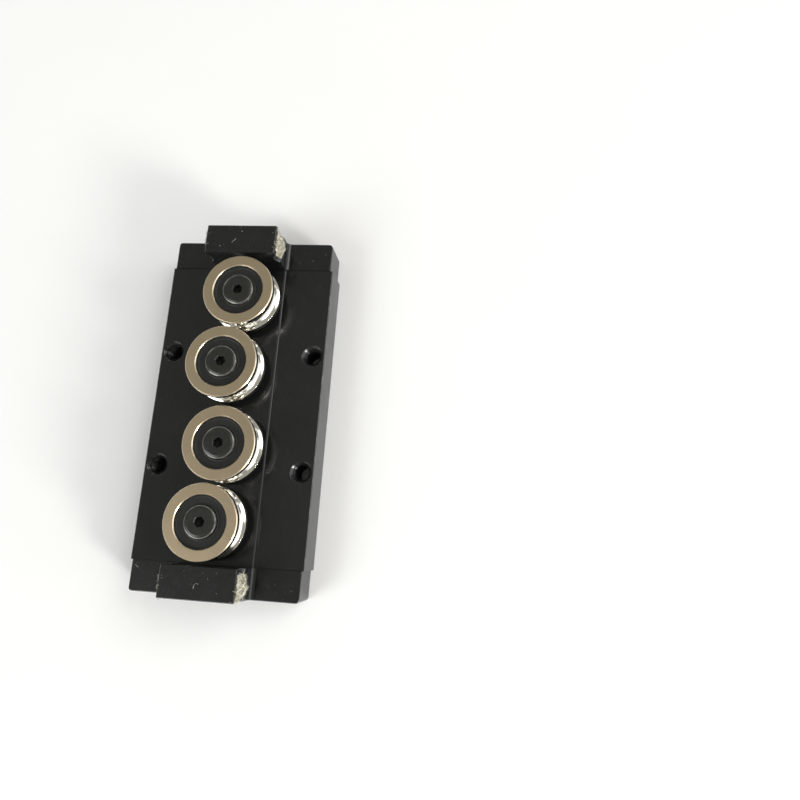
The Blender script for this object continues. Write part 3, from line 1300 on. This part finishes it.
class CARRIAGE_OT_outer_rings(bpy.types.Operator):
    """U-groove outer rings of the track rollers"""

    bl_idname = "carriage.outer_rings"
    bl_label = "Roller Rings"

    def execute(self, context):
        sizes, colours = context.scene.carriage_sizes, context.scene.carriage_colours
        steel = ground_steel(colours)
        for k in ROLLERS:
            centre, rim, half = ring_mm(f"outer_ring_{k}")
            g = sizes.groove_radius
            axis = sizes.groove_floor + g
            reach = math.degrees(math.acos((axis - rim) / g))
            seal_side = box_mm(f"seal_upper_{k}")
            recess, step = (seal_side[1].x - seal_side[0].x) / 2 + 0.02, seal_side[0].z - 0.02 - centre.z
            shoulder = 7.05
            groove = arc(axis, 0, g, 180 + reach, 180 - reach, 40)
            bore = race(sizes, "outer", sizes.row_offset, False, shoulder)
            bore += race(sizes, "outer", -sizes.row_offset, False, shoulder)
            corners = [(recess, 0.3 - half, 0.08), (recess + 0.3, -half, 0.08), (rim - 0.3, -half, 0.1),
                       (rim, 0.3 - half, 0.1)]
            corners += [(rim, groove[0][1], 0.09)] + [(r, z, 0) for r, z in groove[1:-1]]
            corners += [(rim, groove[-1][1], 0.09), (rim, half - 0.3, 0.1), (rim - 0.3, half, 0.1),
                        (recess + 0.3, half, 0.08), (recess, half - 0.3, 0.08), (recess, step, 0.05),
                        (shoulder, step, 0.1)]
            corners += [(r, z, 0) for r, z in bore] + [(shoulder, -step, 0.1), (recess, -step, 0.05)]
            piece = make(f"roller_ring_{k}", moved(turned(rounded(corners, 4), 192, True), centre))
            own_frame(smooth(piece, 30), centre, k * 0.53)
            hand_over(piece, f"roller_{k}", "ground_steel", [f"outer_ring_{k}"], steel)
        return {"FINISHED"}


class CARRIAGE_OT_inner_rings(bpy.types.Operator):
    """Inner rings, balls and cages of the track rollers"""

    bl_idname = "carriage.bearings"
    bl_label = "Inner Rings, Balls and Cages"

    def execute(self, context):
        sizes, colours = context.scene.carriage_sizes, context.scene.carriage_colours
        steel = plain_steel("race_steel", colours.bright, 0.14)
        polished = plain_steel("ball_steel", (0.78, 0.78, 0.78), 0.05)
        cage_brass = brass(colours)
        tree = ball_tree()
        for k in ROLLERS:
            centre, outer, half = ring_mm(f"inner_ring_{k}")
            races = race(sizes, "inner", -sizes.row_offset, True, outer)
            races += race(sizes, "inner", sizes.row_offset, True, outer)
            corners = [(3.0, -half, 0.2), (outer, -half, 0.15)] + [(r, z, 0) for r, z in races]
            corners += [(outer, half, 0.15), (3.0, half, 0.2)]
            piece = make(f"inner_race_{k}", moved(turned(rounded(corners, 3), 128, True), centre))
            hand_over(smooth(piece), body_of_roller_seat(k), "bright_steel", [f"inner_ring_{k}"], steel)
            seat = make("seat", ([(0, 0, 0)], []))
            balls = grown(f"ball_rows_{k}", seat, tree, {
                "Balls": sizes.balls_in_row, "Ball Radius": sizes.ball / 2000,
                "Circle Radius": sizes.ball_circle / 1000, "Row Offset": sizes.row_offset / 1000,
                "Centre": tuple(centre / 1000)}, polished)
            discard(seat)
            hand_over(balls, f"ball_set_{k}", "ball_steel", [f"balls_{k}"], polished)
            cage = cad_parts[f"ball_cage_{k}"]
            cage.data.materials.clear()
            cage.data.materials.append(cage_brass)
        return {"FINISHED"}


class CARRIAGE_OT_seals(bpy.types.Operator):
    """Rubber seals in both faces of the track rollers"""

    bl_idname = "carriage.seals"
    bl_label = "Seals"

    def execute(self, context):
        rubber = seal_rubber(context.scene.carriage_colours)
        for k in ROLLERS:
            middle = centre_mm(f"outer_ring_{k}")
            for name, side in (("upper", 1), ("lower", -1)):
                node = f"seal_{name}_{k}"
                centre, rim, half = ring_mm(node)
                z1, z2 = abs(centre.z - middle.z) - half, abs(centre.z - middle.z) + half
                lip = 5.3
                profile = rounded([(lip, z1, 0.03), (rim, z1, 0.05), (rim, z2, 0.1), (rim - 0.5, z2, 0.08),
                                   (rim - 0.75, z2 - 0.15, 0.08), (lip + 1, z2 - 0.15, 0.1),
                                   (lip + 0.8, z2 - 0.2, 0.08), (lip + 0.45, z2 - 0.17, 0.08),
                                   (lip + 0.2, z2 - 0.03, 0.05), (lip, z2 - 0.03, 0.04)], 3)
                profile = [(r, side * z) for r, z in profile]
                piece = make(f"roller_seal_{name}_{k}", moved(turned(profile, 144, True), middle))
                own_frame(smooth(piece, 40), middle, k * 0.29 + side)
                hand_over(piece, f"roller_{k}", "seal_rubber", [node], rubber)
        return {"FINISHED"}


class CARRIAGE_OT_stage(bpy.types.Operator):
    """Pale floor, soft studio light and the camera"""

    bl_idname = "carriage.stage"
    bl_label = "Stage"

    def execute(self, context):
        stage, colours = context.scene.carriage_stage, context.scene.carriage_colours
        r = 4000
        floor = make("floor", prism([(-r, -r), (r, -r), (r, r), (-r, r)], -20, 0, "Z"))
        paint = Paint("pale_floor", Roughness=0.75, IOR=1.3)
        cloud = paint.grain(60, 3)
        floor.data.materials.append(paint.finish(
            Base_Color=paint.mix(cloud, shade(colours.floor, 0.985), shade(colours.floor, 1.01)),
            Normal=paint.bump(paint.grain(1.5, 3), 0.02, 0.2)))

        context.scene.world = bpy.data.worlds.new("studio")
        Sky(context.scene.world, stage)

        lamps = (("key", stage.key, (-0.84, -1.25, 0.57), 0.3, (1.0, 0.985, 0.95)),
                 ("fill", stage.fill, (-0.9, 1.2, 1.2), 1.0, (0.97, 0.985, 1.0)),
                 ("side", stage.side, (0.7, -1.2, 1.3), 1.0, (1.0, 1.0, 0.99)))
        for name, power, place, size, tint in lamps:
            light = bpy.data.lights.new(name, "AREA")
            light.energy, light.size, light.color, light.shape = power, size, tint, "SQUARE"
            lamp = bpy.data.objects.new(name, light)
            lamp.location = place
            lamp.rotation_euler = (Vector((0, 0, 0.01)) - Vector(place)).to_track_quat("-Z", "Y").to_euler()
            context.scene.collection.objects.link(lamp)

        lens = bpy.data.cameras.new("camera")
        lens.lens, lens.sensor_width, lens.clip_start, lens.clip_end = stage.focal, 36, 0.005, 20
        camera = bpy.data.objects.new("camera", lens)
        camera.location, camera.rotation_euler = stage.camera_place, stage.camera_turn
        context.scene.collection.objects.link(camera)
        context.scene.camera = camera
        context.scene.view_settings.view_transform = "Standard"
        return {"FINISHED"}


# Handling marks on the caps, seen from the roller side: x0, y0, x1, y1, width.
CAP_MARKS = (
    (55.12, 2.95, 56.57, 1.61, 0.09), (53.8, 7.1, 53.95, 6.8, 0.12), (59.2, -0.1, 59.35, -0.3, 0.12),
    (-57.95, 0.74, -57.0, 0.68, 0.11), (-57.0, 0.68, -56.4, 0.15, 0.11), (-56.4, 0.15, -56.5, -0.6, 0.1),
    (-54.8, -3.4, -54.95, -3.6, 0.11), (-58.85, -6.6, -58.9, -6.9, 0.1), (-53.1, 27.5, -53.95, 26.2, 0.07),
    (55.1, -21.9, 55.2, -22.1, 0.12), (57.6, -26.4, 57.7, -26.3, 0.1), (54.3, -17.2, 54.4, -17.4, 0.1))

PIECES = (CARRIAGE_OT_plate, CARRIAGE_OT_backing_plates, CARRIAGE_OT_end_caps, CARRIAGE_OT_felt_wipers,
          CARRIAGE_OT_cap_screws, CARRIAGE_OT_lock_nuts, CARRIAGE_OT_axles, CARRIAGE_OT_spacers,
          CARRIAGE_OT_outer_rings, CARRIAGE_OT_inner_rings, CARRIAGE_OT_seals, CARRIAGE_OT_stage)


class CARRIAGE_PT_panel(bpy.types.Panel):
    """Sidebar list of the carriage's pieces"""

    bl_idname = "CARRIAGE_PT_panel"
    bl_label = "Roller Carriage"
    bl_space_type = "VIEW_3D"
    bl_region_type = "UI"
    bl_category = "Carriage"

    def draw(self, context):
        for operator in PIECES:
            self.layout.operator(operator.bl_idname)
        for group in [getattr(context.scene, name) for name in GROUPS]:
            box = self.layout.box()
            for name in group.bl_rna.properties.keys():
                if name not in ("rna_type", "name"):
                    box.prop(group, name)


GROUPS = {"carriage_sizes": CarriageSizes, "carriage_colours": CarriageColours,
          "carriage_stage": CarriageStage}


def register():
    for item in (*GROUPS.values(), *PIECES, CARRIAGE_PT_panel):
        bpy.utils.register_class(item)
    for name, group in GROUPS.items():
        setattr(bpy.types.Scene, name, PointerProperty(type=group))


def unregister():
    for name in GROUPS:
        delattr(bpy.types.Scene, name)
    for item in reversed((*GROUPS.values(), *PIECES, CARRIAGE_PT_panel)):
        bpy.utils.unregister_class(item)


def main():
    register()
    for operator in PIECES:
        group, name = operator.bl_idname.split(".")
        getattr(getattr(bpy.ops, group), name)()


if __name__ == "__main__":
    main()
